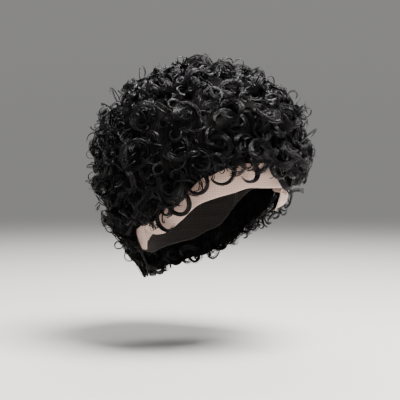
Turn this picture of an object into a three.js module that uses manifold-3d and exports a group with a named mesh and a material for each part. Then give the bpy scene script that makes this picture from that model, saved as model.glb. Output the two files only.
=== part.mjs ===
// Curly pixie wig: a soft net cap sewn from panels, with a lace front and two lace ear tabs, covered in short curled locks.
// Millimetres. +Z is up and -Y is the front, so +X is the wearer's left.
// The origin is the top of the hollow, where the crown of a head touches the inside of the cap.
import * as THREE from "three";
import { mergeVertices } from "three/addons/utils/BufferGeometryUtils.js";
import Module from "manifold-3d";

const wasm = await Module();
wasm.setup();

// Head that the cap is stretched over. Below its widest level it tapers towards the neck.
const HEAD = {
  halfWidth: 78,
  frontReach: 95,
  backReach: 99,
  crownDrop: 92,
  neckSpan: 190,
  neckTaper: 0.29,
};

// Places on the head: turn is degrees round it, 0 at the front and + to the wearer's left,
// fall is degrees down from the crown, 90 at the widest level, and lift is mm out from its surface.
const DEGREE = Math.PI / 180;
const WIDEST_FALL = 90;

// Cloth walls
const CAP_WALL = 1.2;
const LACE_WALL = 1.0;
const SEAM_FALL = 0.15; // half the gap between two pieces that meet edge to edge, in degrees of fall
const SEAM_TURN = 0.12; // the same for pieces side by side, in degrees of turn
const TAB_SEAM_FALL = 0.4;
const LACE_DEPTH_FALL = 24; // lace strip at the forehead
const LACE_END_FALL = 3; // lace strip where it runs out beside the ear
const LACE_NARROWS = { from: 60, to: 84 }; // turns over which the strip narrows
const LACE_END_TURN = 84;

// Edge of the cloth as it is worn, lower on the right than on the left
const RIM = [
  { turn: -180, fall: 138 },
  { turn: -156, fall: 142 },
  { turn: -136, fall: 140 },
  { turn: -118, fall: 127 },
  { turn: -104, fall: 118 },
  { turn: -92, fall: 121 },
  { turn: -80, fall: 124 },
  { turn: -66, fall: 126 },
  { turn: -50, fall: 116 },
  { turn: -33, fall: 105.5 },
  { turn: -18, fall: 100 },
  { turn: 0, fall: 96 },
  { turn: 36, fall: 96.5 },
  { turn: 66, fall: 99 },
  { turn: 80, fall: 100 },
  { turn: 92, fall: 100 },
  { turn: 104, fall: 98 },
  { turn: 118, fall: 109 },
  { turn: 136, fall: 126 },
  { turn: 156, fall: 134 },
  { turn: 180, fall: 138 },
];

// Panels of the cap: one over the crown, and these round it, down to the rim or to another panel
const CAP_CROWN_FALL = 50;
const CAP_NAPE_FALL = 95;
const CAP_PANELS = [
  { name: "cap_front", from: -60, to: 60, starts: CAP_CROWN_FALL, rows: 2 },
  { name: "cap_side_left", from: 60, to: 120, starts: CAP_CROWN_FALL, rows: 4 },
  { name: "cap_back", from: 120, to: 240, starts: CAP_CROWN_FALL, ends: CAP_NAPE_FALL, rows: 3 },
  { name: "cap_nape", from: 120, to: 240, starts: CAP_NAPE_FALL, rows: 2 },
  { name: "cap_side_right", from: 240, to: 300, starts: CAP_CROWN_FALL, rows: 4 },
];

// Lace tongues in front of the ears. The left one swings away from the head, most of all at its rear edge.
const EAR_TABS = [
  { name: "ear_tab_right", turn: -88, halfTurn: 12, length: 22, sweepTurn: -8, flare: 0.6, twist: 0 },
  { name: "ear_tab_left", turn: 76, halfTurn: 11, length: 21, sweepTurn: 2, flare: 19, twist: 1 },
];
const TAB_TIP_WIDTH = 0.35; // of the width at the rim
const TAB_SWELL = { from: 0.2, eased: 0.8 }; // part of a half wave that it has swelled by at the rim, and how soon the rest follows
const TAB_ROOM = { turn: 2, fall: 2, lift: 1.5 }; // free space round a tab, which the hair keeps out of
const TAB_ROWS = 6;
const TAB_COLUMNS = 4;

// Lower edge of the hair, from behind the right ear round the front to behind the left ear
const HEM = [
  { turn: -180, fall: 154 },
  { turn: -150, fall: 158 },
  { turn: -125, fall: 157 },
  { turn: -108, fall: 142 },
  { turn: -95, fall: 127 },
  { turn: -80, fall: 123 },
  { turn: -62, fall: 120 },
  { turn: -45, fall: 110 },
  { turn: -30, fall: 100 },
  { turn: -15, fall: 95 },
  { turn: 0, fall: 92 },
  { turn: 45, fall: 93 },
  { turn: 60, fall: 97 },
  { turn: 82, fall: 102 },
  { turn: 93, fall: 117 },
  { turn: 105, fall: 126 },
  { turn: 125, fall: 140 },
  { turn: 150, fall: 149 },
  { turn: 180, fall: 154 },
];

// How far the curls stand off the head, from the crown to the nape, in front of the left ear and behind the right ear
const LOFT = [
  { fall: 0, left: 31, right: 31 },
  { fall: 20, left: 36, right: 35 },
  { fall: 40, left: 41, right: 42 },
  { fall: 60, left: 46, right: 47 },
  { fall: 80, left: 43, right: 46 },
  { fall: 92, left: 39, right: 43 },
  { fall: 104, left: 31, right: 38 },
  { fall: 122, left: 25, right: 30 },
  { fall: 136, left: 18, right: 21 },
  { fall: 150, left: 11, right: 14 },
];
const LOFT_LEFT_TURN = 63;
const HEM_THINS_FALL = 26; // the hair thins over this much of the fall above its lower edge
const HEM_THINS_BY = 0.35;

// Hair under the curls, which the locks are fused to
const HAIR_SEAT = 2.4; // lift of its inner face, clear of the cap and the lace
const SEAT_SPARE = 1; // it is made this much deeper and cut off at its seat
const CURL_RELIEF = 19; // how deep the hollows between curls are
const LEAST_BACKING = 2.5;
const TUFT = 3; // its outer face is lumpy, this much up and down
const BACKING_HEM_FALL = 5; // it stops this much above the lower edge

// Rows of curled locks, one below the other as they are sewn to the cap
const ROW_STEP_FALL = 17;
const FIRST_ROW_FALL = 9;
const LAST_ROW_FALL = 152;
const LOCK_PITCH = 42;
const LOCK_HEM_FALL = 14; // a lock of these rows sits at least this far above the lower edge
const HEM_ROW_FALL = 6; // and one more row follows the edge, this far above it
const HEM_ROW_TURN = 24; // turn between its locks
const HEM_ROW_MISSES_TAB = 14; // turn on each side of an ear tab where it has none
const HEM_ROW_MISSES_FRINGE = { from: -45, to: 25 }; // nor here, where the fringe's hooks hang
const NAPE_CURL = { size: 0.6, from: 96, to: 132 }; // its curls shrink to this over these turns on both sides
const CURL_RADIUS = { least: 12.5, spread: 3.5 };
const CURL_TILT = { least: 0, spread: 45 }; // degrees from a flat rosette to a standing roll
const CURL_TURNS = { least: 0.86, spread: 0.12 };
const CURL_CLOSES = 0.4; // share of its radius that a curl loses by its tip
const CURL_RISE = 17; // mm that a lock climbs out of the backing
const LOCK_THICKNESS = 7; // radius of a lock where it leaves the backing
const LOCK_TIP = 0.5; // of that radius
const LOCK_SIDES = 4;
const LOCK_STEPS = 5;

// Thin hooks of hair that hang out of the fringe and lie near the forehead. Radii are of the hook and of its strand.
const HOOKS = [
  { turn: -58, fall: 115, radius: 11, strand: 2.0, lift: 8 },
  { turn: -47, fall: 104, radius: 12, strand: 2.2, lift: 9 },
  { turn: -35, fall: 92, radius: 11, strand: 1.8, lift: 11 },
  { turn: -20, fall: 86, radius: 12, strand: 2.4, lift: 14 },
  { turn: -3, fall: 87, radius: 9, strand: 1.9, lift: 12 },
  { turn: 19, fall: 83, radius: 12, strand: 2.4, lift: 14 },
];
const HOOK_SWEEP = 240; // degrees of a circle
const HOOK_START = 120; // its tip, in degrees from straight up. It ends straight up, in the hair above.

// Sections of hair, and the gap between them
const CROWN_FALL = 52;
const SECTION_GAP = 0.27; // degrees left free on each side of a border
const LOWEST_FALL = 178;
const HIGHEST_LIFT = 75;
const SECTIONS = [
  { name: "fringe_hair", from: -68, to: 62 },
  { name: "back_hair", from: 62, to: 292 },
];

// Facets
const CAP_COLUMNS = 30; // 12 degrees each, which the lace shares so that their edges run side by side
const CAP_CROWN_ROWS = 3;
const BACKING_COLUMNS = 24;
const BACKING_ROWS = 7;
const SECTION_STEP_TURN = 12;
const SECTION_ROWS = 10;
const LACE_ROWS = 2;

const FINISHES = {
  net: new THREE.MeshStandardMaterial({ color: "#1d1916", roughness: 0.9, metalness: 0 }),
  lace: new THREE.MeshStandardMaterial({ color: "#b89486", roughness: 0.85, metalness: 0 }),
  hair: new THREE.MeshStandardMaterial({ color: "#141112", roughness: 0.4, metalness: 0 }),
};

// Number helpers
const lerp = (a, b, share) => a + (b - a) * share;
const ease = (share) => {
  const s = Math.min(1, Math.max(0, share));
  return s * s * (3 - 2 * s);
};
const range = (count) => Array.from({ length: count }, (_, i) => i);

// The value of a table's column at a key, eased between its rows.
function read(table, key, column, at) {
  const next = table.findIndex((row) => row[key] >= at);
  if (next === 0) return table[0][column];
  if (next < 0) return table.at(-1)[column];
  const [a, b] = [table[next - 1], table[next]];
  return lerp(a[column], b[column], ease((at - a[key]) / (b[key] - a[key])));
}

// A turn brought into -180 to 180.
const wrap = (turn) => ((((turn + 180) % 360) + 360) % 360) - 180;

// Evenly spread values from 0 to 1 for lock number i, a different series for each property.
const SERIES = { radius: 0.7548777, tilt: 0.5698403, heading: 0.8191725, sense: 0.6710436, turns: 0.5497005, start: 0.4502995, row: 0.618034 };
const spread = (i, property) => (0.5 + i * SERIES[property]) % 1;

// Head surface and the edges drawn on it
function headSurface(turn, fall) {
  const below = HEAD.crownDrop * (fall - WIDEST_FALL) * DEGREE;
  const dome = fall <= WIDEST_FALL;
  const out = dome
    ? Math.sin(fall * DEGREE)
    : 1 - HEAD.neckTaper * (1 - Math.cos((Math.PI * below) / HEAD.neckSpan));
  const drop = dome ? HEAD.crownDrop * (1 - Math.cos(fall * DEGREE)) : HEAD.crownDrop + below;
  const ahead = Math.cos(turn * DEGREE);
  const reach = ahead > 0 ? HEAD.frontReach : HEAD.backReach;
  return new THREE.Vector3(HEAD.halfWidth * out * Math.sin(turn * DEGREE), -reach * out * ahead, -drop);
}

// Directions at a place on the head: out of it, down it and along it.
function directions(turn, fall) {
  const step = 0.05;
  const at = Math.max(fall, 1);
  const down = headSurface(turn, at + step).sub(headSurface(turn, at - step)).normalize();
  const along = headSurface(turn + step, at).sub(headSurface(turn - step, at)).normalize();
  const out = new THREE.Vector3().crossVectors(down, along).normalize();
  return { out: fall < 1 ? new THREE.Vector3(0, 0, 1) : out, down, along };
}

const onHead = (turn, fall, lift) => headSurface(turn, fall).addScaledVector(directions(turn, fall).out, lift);

const rimFall = (turn) => read(RIM, "turn", "fall", wrap(turn));
const hemFall = (turn) => read(HEM, "turn", "fall", wrap(turn));

function laceDepth(turn) {
  const narrowed = ease((Math.abs(turn) - LACE_NARROWS.from) / (LACE_NARROWS.to - LACE_NARROWS.from));
  return lerp(LACE_DEPTH_FALL, LACE_END_FALL, narrowed);
}

// The cap ends behind the lace, and at the rim where there is none.
function capFall(turn) {
  const around = Math.abs(wrap(turn));
  const past = ease((around - LACE_END_TURN) / (LACE_NARROWS.to - LACE_NARROWS.from));
  return rimFall(turn) - lerp(laceDepth(wrap(turn)), 0, past) - SEAM_FALL;
}

function hairStand(turn, fall) {
  const thinned = ease((fall - hemFall(turn) + HEM_THINS_FALL) / HEM_THINS_FALL);
  const towardsRight = (1 - Math.cos((turn - LOFT_LEFT_TURN) * DEGREE)) / 2;
  const stand = lerp(read(LOFT, "fall", "left", fall), read(LOFT, "fall", "right", fall), towardsRight);
  return stand * (1 - HEM_THINS_BY * thinned);
}

// A closed skin over loops of points, either capped at both ends or joined into a ring.
function skin(loops, ring = false) {
  const count = loops[0].length;
  const points = loops.flat().flatMap((p) => p.toArray());
  const faces = [];
  const quad = (a, b, c, d) => faces.push(a, b, c, a, c, d);
  range(ring ? loops.length : loops.length - 1).forEach((i) => {
    const [here, next] = [i * count, ((i + 1) % loops.length) * count];
    range(count).forEach((k) => {
      const l = (k + 1) % count;
      quad(here + k, here + l, next + l, next + k);
    });
  });
  if (!ring) {
    const last = (loops.length - 1) * count;
    range(Math.floor((count - 1) / 2)).forEach((k) => {
      const [l, m, n] = [k + 1, count - 2 - k, count - 1 - k];
      quad(n, m, l, k);
      quad(last + k, last + l, last + m, last + n);
    });
  }
  const raw = new THREE.BufferGeometry();
  raw.setAttribute("position", new THREE.Float32BufferAttribute(points, 3));
  raw.setIndex(faces);
  return withoutSlivers(mergeVertices(raw, 1e-3));
}

// Faces whose corners merged, as at the crown, are left out.
function withoutSlivers(geometry) {
  const index = geometry.index.array;
  const kept = range(index.length / 3)
    .map((i) => [index[3 * i], index[3 * i + 1], index[3 * i + 2]])
    .filter(([a, b, c]) => a !== b && b !== c && c !== a);
  return geometry.setIndex(kept.flat());
}

// One section through a wall, down its outer face and back up its inner face.
function wallLoop(turn, falls, lifts) {
  const outer = falls.map((fall, row) => onHead(turn, fall, lifts(turn, fall, row)[1]));
  const inner = falls.map((fall, row) => onHead(turn, fall, lifts(turn, fall, row)[0]));
  return [...outer, ...inner.reverse()];
}

const steps = (from, to, count) => range(count + 1).map((i) => lerp(from, to, i / count));

// A wall over the whole head, down to an edge.
function dome(edge, lifts, columns, rows) {
  const turns = range(columns).map((i) => (360 * i) / columns - 180);
  return skin(turns.map((turn) => wallLoop(turn, steps(0, edge(turn), rows), lifts)), true);
}

// A wall over part of the head, between two turns and two edges.
function panel(turns, top, bottom, lifts, rows) {
  return skin(turns.map((turn) => wallLoop(turn, steps(top(turn), bottom(turn), rows), lifts)));
}

// Solids, for joining and cutting
function solidOf(geometry) {
  return new wasm.Manifold(
    new wasm.Mesh({
      numProp: 3,
      vertProperties: new Float32Array(geometry.attributes.position.array),
      triVerts: new Uint32Array(geometry.index.array),
    }),
  );
}

function geometryOf(solid) {
  const mesh = solid.getMesh();
  const made = new THREE.BufferGeometry();
  made.setAttribute("position", new THREE.BufferAttribute(mesh.vertProperties, 3));
  made.setIndex(new THREE.BufferAttribute(mesh.triVerts, 1));
  return made;
}

// Cloth pieces
const capLifts = () => [0, CAP_WALL];
const capCrownGeometry = () => dome(() => CAP_CROWN_FALL - SEAM_FALL, capLifts, CAP_COLUMNS, CAP_CROWN_ROWS);

function capPanelGeometry({ from, to, starts, ends, rows }) {
  const turns = steps(from, to, ((to - from) * CAP_COLUMNS) / 360);
  turns[0] += SEAM_TURN;
  turns[turns.length - 1] -= SEAM_TURN;
  const bottom = ends ? () => ends - SEAM_FALL : capFall;
  return panel(turns, () => starts + SEAM_FALL, bottom, capLifts, rows);
}

function laceFrontGeometry() {
  const turns = steps(-LACE_END_TURN, LACE_END_TURN, (LACE_END_TURN * CAP_COLUMNS) / 180);
  const top = (turn) => rimFall(turn) - laceDepth(turn) + SEAM_FALL;
  return panel(turns, top, rimFall, () => [0, LACE_WALL], LACE_ROWS);
}

const fallOf = (length) => length / (HEAD.crownDrop * DEGREE);

// The cap's edge runs straight from one of its columns to the next, and a tab hangs from that line.
function facetedRim(turn) {
  const column = 360 / CAP_COLUMNS;
  const before = Math.floor(turn / column) * column;
  return lerp(rimFall(before), rimFall(before + column), (turn - before) / column);
}

// A tongue that narrows and sweeps back as it hangs down, and swells away from the head. A twist keeps its front edge in.
function earTabGeometry({ turn, halfTurn, length, sweepTurn, flare, twist }) {
  const lengthFall = fallOf(length);
  const rows = steps(0, 1, TAB_ROWS).map((down) => {
    const half = halfTurn * lerp(1, TAB_TIP_WIDTH, down);
    const middle = turn + sweepTurn * down;
    const swell = flare * Math.sin(Math.PI * lerp(TAB_SWELL.from, 1, down ** TAB_SWELL.eased));
    const across = steps(middle - half, middle + half, TAB_COLUMNS);
    const liftAt = (t) => swell * lerp(1, (t - middle + half) / (2 * half), twist);
    const fallAt = (t) => lerp(facetedRim(t), rimFall(turn), down) + TAB_SEAM_FALL + lengthFall * down;
    const outer = across.map((t) => onHead(t, fallAt(t), liftAt(t) + LACE_WALL));
    const inner = across.map((t) => onHead(t, fallAt(t), liftAt(t)));
    return [...inner, ...outer.reverse()];
  });
  return skin(rows);
}

function tabRoom({ turn, halfTurn, length, sweepTurn, flare }) {
  const reach = halfTurn + Math.abs(sweepTurn) + TAB_ROOM.turn;
  const bottom = (t) => rimFall(t) + fallOf(length) + TAB_ROOM.fall;
  const lifts = () => [-CAP_WALL, flare + LACE_WALL + TAB_ROOM.lift];
  return panel(steps(turn - reach, turn + reach, TAB_COLUMNS), (t) => rimFall(t), bottom, lifts, TAB_ROWS);
}

// Curls of the cut's lower edge are shorter behind the ears.
const napeSize = (turn) => {
  const behind = ease((Math.abs(turn) - NAPE_CURL.from) / (NAPE_CURL.to - NAPE_CURL.from));
  return lerp(1, NAPE_CURL.size, behind);
};

// Hair: places of the locks, row by row
function lockPlaces() {
  const rowCount = Math.floor((LAST_ROW_FALL - FIRST_ROW_FALL) / ROW_STEP_FALL) + 1;
  const rows = range(rowCount).flatMap((row) => {
    const fall = FIRST_ROW_FALL + row * ROW_STEP_FALL;
    const across = onHead(90, fall, LOFT[0].left).x - onHead(0, fall, LOFT[0].left).y;
    const count = Math.max(3, Math.round((Math.PI * across) / LOCK_PITCH));
    return range(count)
      .map((i) => ({ turn: wrap((360 * (i + spread(row, "row"))) / count), fall, size: 1 }))
      .filter((place) => place.fall <= hemFall(place.turn) - LOCK_HEM_FALL);
  });
  const hemRow = range(360 / HEM_ROW_TURN)
    .map((i) => HEM_ROW_TURN * i - 180)
    .filter((turn) => EAR_TABS.every((tab) => Math.abs(turn - tab.turn) > HEM_ROW_MISSES_TAB))
    .filter((turn) => turn < HEM_ROW_MISSES_FRINGE.from || turn > HEM_ROW_MISSES_FRINGE.to)
    .map((turn) => ({ turn, fall: hemFall(turn) - HEM_ROW_FALL, size: napeSize(turn) }));
  return [...rows, ...hemRow];
}

// The curl of lock number i at its place, each of its sizes from a series of its own.
function curlOf({ turn, fall, size }, i) {
  const radius = size * (CURL_RADIUS.least + CURL_RADIUS.spread * spread(i, "radius"));
  const strand = size * LOCK_THICKNESS;
  const tilt = (CURL_TILT.least + CURL_TILT.spread * spread(i, "tilt")) * DEGREE;
  const lift = hairStand(turn, fall) - strand * LOCK_TIP - radius * (1 - CURL_CLOSES) * Math.sin(tilt);
  return {
    turn,
    fall,
    radius,
    tilt,
    lift: Math.max(lift, HAIR_SEAT),
    heading: 2 * Math.PI * spread(i, "heading"),
    sweep: (spread(i, "sense") < 0.5 ? -2 : 2) * Math.PI * (CURL_TURNS.least + CURL_TURNS.spread * spread(i, "turns")),
    start: 2 * Math.PI * spread(i, "start"),
    closes: CURL_CLOSES,
    rise: size * CURL_RISE,
    strand,
  };
}

// A hook is an open circle of even radius that lies along the head.
function hookOf({ turn, fall, radius, strand, lift }) {
  const flat = { tilt: 0, heading: 0, closes: 0, rise: 0 };
  return { turn, fall, radius, strand, lift, ...flat, sweep: HOOK_SWEEP * DEGREE, start: HOOK_START * DEGREE };
}

// The middle line of a curl: a circle that closes like a spiral and climbs along its axis.
function curlLine(curl) {
  const { out, down, along } = directions(curl.turn, curl.fall);
  const lean = down.clone().multiplyScalar(Math.cos(curl.heading)).addScaledVector(along, Math.sin(curl.heading));
  const axis = out.clone().multiplyScalar(Math.cos(curl.tilt)).addScaledVector(lean, Math.sin(curl.tilt)).normalize();
  const first = new THREE.Vector3().crossVectors(axis, along).normalize();
  const second = new THREE.Vector3().crossVectors(axis, first);
  const centre = onHead(curl.turn, curl.fall, curl.lift);
  return (share) => {
    const angle = curl.start + curl.sweep * share;
    const radius = curl.radius * (1 - curl.closes * share);
    return centre
      .clone()
      .addScaledVector(first, radius * Math.cos(angle))
      .addScaledVector(second, radius * Math.sin(angle))
      .addScaledVector(axis, curl.rise * (share - 1));
  };
}

// A lock is a tube round that line which thins towards its tip.
function lockGeometry(curl) {
  const line = curlLine(curl);
  const { out } = directions(curl.turn, curl.fall);
  const step = 1e-3;
  const loops = steps(0, 1, LOCK_STEPS).map((share) => {
    const at = line(share);
    const ahead = line(share + step).sub(line(share - step)).normalize();
    const side = new THREE.Vector3().crossVectors(ahead, out).normalize();
    const up = new THREE.Vector3().crossVectors(side, ahead);
    const thick = curl.strand * lerp(1, curl.closes ? LOCK_TIP : 1, share);
    return range(LOCK_SIDES).map((k) => {
      const a = Math.PI * (0.5 - (2 * k) / LOCK_SIDES);
      return at.clone().addScaledVector(side, thick * Math.cos(a)).addScaledVector(up, thick * Math.sin(a));
    });
  });
  return skin(loops);
}

function wholeHair() {
  // Tufts are high and low in turn along each row and down each column.
  const tuft = (turn, row) => (row ? TUFT * Math.cos(Math.PI * (row + (BACKING_COLUMNS * turn) / 360)) : 0);
  const backing = (turn, fall, row) => [
    HAIR_SEAT - SEAT_SPARE,
    Math.max(hairStand(turn, fall) - CURL_RELIEF + tuft(turn, row), HAIR_SEAT + LEAST_BACKING),
  ];
  const edge = (turn) => hemFall(turn) - BACKING_HEM_FALL;
  const under = solidOf(dome(edge, backing, BACKING_COLUMNS, BACKING_ROWS));
  const curls = [...lockPlaces().map(curlOf), ...HOOKS.map(hookOf)];
  const all = wasm.Manifold.union([under, ...curls.map((curl) => solidOf(lockGeometry(curl)))]);
  return EAR_TABS.reduce((rest, tab) => rest.subtract(solidOf(tabRoom(tab))), all);
}

// The part of the hair in one section. Loose ends that the border cuts off are dropped.
function hairIn(hair, region) {
  const bodies = hair.intersect(solidOf(region)).decompose();
  return geometryOf(bodies.reduce((a, b) => (a.volume() > b.volume() ? a : b)));
}

const sectionLifts = () => [HAIR_SEAT, HIGHEST_LIFT];

function crownRegion() {
  return dome(() => CROWN_FALL - SECTION_GAP, sectionLifts, 360 / SECTION_STEP_TURN, SECTION_ROWS / 2);
}

function sectionRegion({ from, to }) {
  const columns = Math.ceil((to - from) / SECTION_STEP_TURN);
  const turns = steps(from + SECTION_GAP, to - SECTION_GAP, columns);
  return panel(turns, () => CROWN_FALL + SECTION_GAP, () => LOWEST_FALL, sectionLifts, SECTION_ROWS);
}

// Assembly
const wig = new THREE.Group();
wig.name = "curly_pixie_wig";

function place(name, geometry, finish) {
  const mesh = new THREE.Mesh(geometry, finish);
  mesh.name = name;
  wig.add(mesh);
}

place("cap_crown", capCrownGeometry(), FINISHES.net);
CAP_PANELS.forEach((part) => place(part.name, capPanelGeometry(part), FINISHES.net));
place("lace_front", laceFrontGeometry(), FINISHES.lace);
EAR_TABS.forEach((tab) => place(tab.name, earTabGeometry(tab), FINISHES.lace));
const hair = wholeHair();
place("crown_hair", hairIn(hair, crownRegion()), FINISHES.hair);
SECTIONS.forEach((section) => place(section.name, hairIn(hair, sectionRegion(section)), FINISHES.hair));

export default wig;
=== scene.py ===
# %% [markdown]
# # A short curly wig, strand by strand
#
# The wig is a net cap with a strip of lace along the forehead and a lace tab in front of each
# ear. Short hair is sewn into it in locks, and every lock is set in a curl.
#
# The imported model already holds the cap, the lace and the hair as solids. This lesson keeps their
# places and gives each one the surface that the real thing has: knitted net, open lace, and
# thousands of fibres that follow the same curls as the solids.

# %% Frame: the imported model, and its box before anything is dressed
import math

import bpy
import numpy as np
from mathutils import Matrix


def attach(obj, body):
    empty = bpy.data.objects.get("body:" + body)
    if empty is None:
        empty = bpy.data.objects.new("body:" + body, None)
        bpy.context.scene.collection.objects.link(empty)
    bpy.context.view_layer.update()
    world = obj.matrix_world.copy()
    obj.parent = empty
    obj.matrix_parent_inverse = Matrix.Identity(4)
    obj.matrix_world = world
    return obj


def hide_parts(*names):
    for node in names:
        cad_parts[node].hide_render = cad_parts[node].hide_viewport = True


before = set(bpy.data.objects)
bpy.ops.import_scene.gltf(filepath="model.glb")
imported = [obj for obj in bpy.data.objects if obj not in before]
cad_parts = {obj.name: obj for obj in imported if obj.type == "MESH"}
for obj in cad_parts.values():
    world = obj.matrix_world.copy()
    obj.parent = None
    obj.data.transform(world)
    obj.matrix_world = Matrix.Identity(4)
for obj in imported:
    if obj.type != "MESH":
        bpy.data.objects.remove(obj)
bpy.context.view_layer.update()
MM = 0.001
print("nodes:", ", ".join(sorted(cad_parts)))

# %% [markdown]
# ## Places on the head
#
# Everything on a wig follows the head, so its coordinates do too. `turn` is degrees round the head, 0
# at the front and positive to the wearer's left. `fall` is degrees down from the crown, 90 at the
# widest level. `lift` is millimetres out from the surface. A mesh and a shrinkwrap would do as well,
# but a formula turns whole arrays of these into whole arrays of points in one call.

# %% Head: its surface, its directions, and tables that are read with an eased step
HEAD_HALF_WIDTH, HEAD_FRONT, HEAD_BACK = 78.0, 95.0, 99.0
CROWN_DROP, NECK_SPAN, NECK_TAPER = 92.0, 190.0, 0.29


def ease(share):
    """3s^2 - 2s^3 of a share held between 0 and 1: slow at both ends."""
    s = np.clip(share, 0, 1)
    return s * s * (3 - 2 * s)


def lerp(a, b, share):
    """The value that lies that share of the way from a to b."""
    return a + (b - a) * share


def unit(vectors):
    """Each vector divided by its own length."""
    return vectors / np.linalg.norm(vectors, axis=-1, keepdims=True)


def neck_share(below):
    """How wide the head is below its widest level: 1 less a cosine swing of the taper."""
    return 1 - NECK_TAPER * (1 - np.cos(np.pi * below / NECK_SPAN))


def head_surface(turn, fall):
    """Half an ellipsoid above the widest level, and a tapering oval column below it."""
    t, f = np.radians(turn), np.radians(fall)
    below = CROWN_DROP * (f - np.pi / 2)
    dome = below <= 0
    out = np.where(dome, np.sin(f), neck_share(below))
    drop = np.where(dome, CROWN_DROP * (1 - np.cos(f)), CROWN_DROP + below)
    reach = np.where(np.cos(t) > 0, HEAD_FRONT, HEAD_BACK)
    return np.stack([HEAD_HALF_WIDTH * out * np.sin(t), -reach * out * np.cos(t), -drop], -1)


def directions(turn, fall):
    """Unit vectors out of the head, down it and along it, from small steps on the surface."""
    step, at = 0.05, np.maximum(fall, 1.0)
    down = unit(head_surface(turn, at + step) - head_surface(turn, at - step))
    along = unit(head_surface(turn + step, at) - head_surface(turn - step, at))
    out = unit(np.cross(down, along))
    top = np.asarray(fall)[..., None] < 1
    return np.where(top, np.array([0.0, 0.0, 1.0]), out), down, along


def on_head(turn, fall, lift):
    """The surface point moved out by the lift."""
    turn, fall, lift = np.broadcast_arrays(*(np.asarray(v, float) for v in (turn, fall, lift)))
    return head_surface(turn, fall) + lift[..., None] * directions(turn, fall)[0]


def read(table, at):
    """A table of (key, value) rows read at any key, with an eased step between rows."""
    keys, values = np.array(table, float).T
    i = np.clip(np.searchsorted(keys, at) - 1, 0, len(keys) - 2)
    return lerp(values[i], values[i + 1], ease((at - keys[i]) / (keys[i + 1] - keys[i])))


def wrap(turn):
    """A turn brought into -180 to 180."""
    return (np.asarray(turn, float) + 180) % 360 - 180


head_round = math.pi * (HEAD_HALF_WIDTH + (HEAD_FRONT + HEAD_BACK) / 2)
print("head round its widest level, mm:", round(head_round))

# %% [markdown]
# ## Edges of the cloth and of the hair
#
# A wig is cut to a pattern: the rim of the cap, the lower edge of the hair, and how far the curls
# stand off the head on its left and its right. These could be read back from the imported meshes, but
# the short tables that the solids were cut from give smooth edges.

# %% Edges: rim, lace, hem and loft
# Turn and fall of the cap's rim and of the hair's hem.
RIM = [(-180, 138), (-156, 142), (-136, 140), (-118, 127), (-104, 118), (-92, 121), (-80, 124),
       (-66, 126), (-50, 116), (-33, 105.5), (-18, 100), (0, 96), (36, 96.5), (66, 99), (80, 100),
       (92, 100), (104, 98), (118, 109), (136, 126), (156, 134), (180, 138)]
RIM_COLUMN = 12.0  # the solids' cloth has a corner at every step of this turn
HEM = [(-180, 154), (-150, 158), (-125, 157), (-108, 142), (-95, 127), (-80, 123), (-62, 120),
       (-45, 110), (-30, 100), (-15, 95), (0, 92), (45, 93), (60, 97), (82, 102), (93, 117),
       (105, 126), (125, 140), (150, 149), (180, 154)]
# Fall and loft in mm.
LOFT_LEFT = [(0, 31), (20, 36), (40, 41), (60, 46), (80, 43), (92, 39), (104, 31), (122, 25),
             (136, 18), (150, 11)]
LOFT_RIGHT = [(0, 31), (20, 35), (40, 42), (60, 47), (80, 46), (92, 43), (104, 38), (122, 30),
              (136, 21), (150, 14)]
LACE_DEPTH, LACE_END_DEPTH, LACE_END_TURN = 24.0, 3.0, 84.0
LACE_NARROWS_FROM, LACE_NARROWS_OVER, CAP_MEETS_RIM_OVER = 60.0, 24.0, 16.0
LOFT_LEFT_TURN, HEM_THINS, HEM_THINS_BY = 63.0, 26.0, 0.35
CAP_WALL, LACE_WALL, HAIR_SEAT = 1.2, 1.0, 2.4


def rim_fall(turn):
    """The rim table at the columns of the solids.

    Between them it is the cubic whose slope at a column is that from one neighbour to the other.
    """
    at = (np.asarray(turn, float) + 180) / RIM_COLUMN
    column = np.floor(at)
    s = at - column
    a, b, c, d = (read(RIM, wrap((column + k) * RIM_COLUMN - 180)) for k in (-1, 0, 1, 2))
    return b + s / 2 * (c - a + s * (2 * a - 5 * b + 4 * c - d + s * (3 * (b - c) + d - a)))


def hem_fall(turn):
    """The lower edge of the hair at a turn."""
    return read(HEM, wrap(turn))


def lace_depth(turn):
    """The strip of lace narrows from the forehead to the ears."""
    narrowed = ease((np.abs(wrap(turn)) - LACE_NARROWS_FROM) / LACE_NARROWS_OVER)
    return lerp(LACE_DEPTH, LACE_END_DEPTH, narrowed)


def cap_fall(turn):
    """The net ends where the lace begins, and at the rim where there is no lace."""
    past = ease((np.abs(wrap(turn)) - LACE_END_TURN) / CAP_MEETS_RIM_OVER)
    return rim_fall(turn) - lerp(lace_depth(turn), 0, past)


def hair_stand(turn, fall):
    """Loft between the left and the right table by a cosine of the turn, thinner near the hem."""
    thinned = ease((fall - hem_fall(turn) + HEM_THINS) / HEM_THINS)
    to_right = (1 - np.cos(np.radians(turn - LOFT_LEFT_TURN))) / 2
    loft = lerp(read(LOFT_LEFT, fall), read(LOFT_RIGHT, fall), to_right)
    return loft * (1 - HEM_THINS_BY * thinned)


print("hair stands off the head at the right, mm:", round(float(hair_stand(-117.0, 80.0)), 1))

# %% [markdown]
# ## Meshes from arrays
#
# `new_piece` puts arrays of vertices, faces and UVs into a mesh with `foreach_set`, which is far
# quicker than adding faces one by one. `wall` closes an outer and an inner surface into a thin solid.
# Solidify would do that too, but here the two may differ, as the outside and inside of the cap do.

# %% Meshes: arrays into pieces
UV_MAP = "OFBake"


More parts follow.
